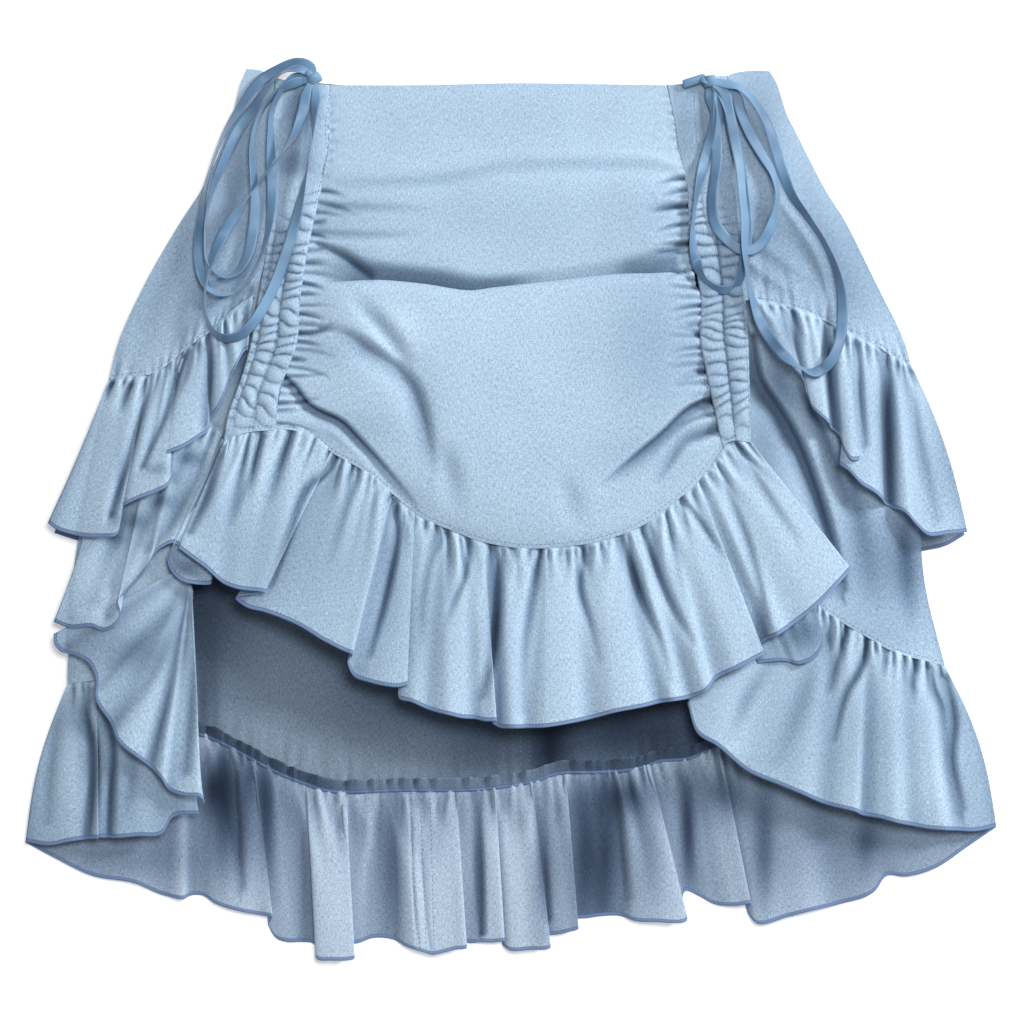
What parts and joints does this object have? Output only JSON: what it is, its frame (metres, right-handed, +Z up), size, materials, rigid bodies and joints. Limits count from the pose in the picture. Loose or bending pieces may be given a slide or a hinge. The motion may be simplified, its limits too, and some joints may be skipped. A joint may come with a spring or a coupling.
{
  "type": "bustle skirt",
  "caption": "Chambray bustle skirt laid flat, front side up: ruched front between ribbon drawstrings, gathered upper tier and ruffled hem.",
  "frame": {"origin": "middle of the bottom of the cloth's box, on the surface that the skirt lies on", "axes": "+Z up out of the surface, +Y from the hem to the waist, +X to the right as seen from above"},
  "size_m": [0.624, 0.5771, 0.0374],
  "materials": {
    "chambray": "light blue cotton chambray, plain weave, slightly slubbed, matt",
    "chambray_inside": "inside face of the same chambray, greyer and darker",
    "satin_ribbon": "narrow blue satin ribbon, soft gloss"
  },
  "bodies": {
    "root": {"back_overskirt": "chambray_inside", "back_upper_ruffle": "chambray_inside", "back_panel_left": "chambray_inside", "back_panel_right": "chambray_inside", "back_ruffle_left": "chambray_inside", "back_ruffle_right": "chambray_inside", "back_seam_allowance": "chambray_inside", "channel_left": "chambray", "channel_right": "chambray", "front_panel": "chambray", "front_ruffle": "chambray", "side_panel_left": "chambray", "side_panel_right": "chambray", "overskirt_left": "chambray", "overskirt_right": "chambray", "upper_ruffle_left": "chambray", "upper_ruffle_right": "chambray", "swag_left": "chambray", "cascade_left": "chambray", "lower_ruffle_left": "chambray", "lower_ruffle_right": "chambray", "ruffle_turn_right": "chambray", "ribbon_left_loop_outer": "satin_ribbon", "ribbon_left_loop_middle": "satin_ribbon", "ribbon_left_loop_long": "satin_ribbon", "ribbon_right_loop_inner": "satin_ribbon", "ribbon_right_loop_middle": "satin_ribbon", "ribbon_right_loop_outer": "satin_ribbon", "ribbon_left_knot": "satin_ribbon", "ribbon_right_knot": "satin_ribbon"}
  },
  "joints": []
}
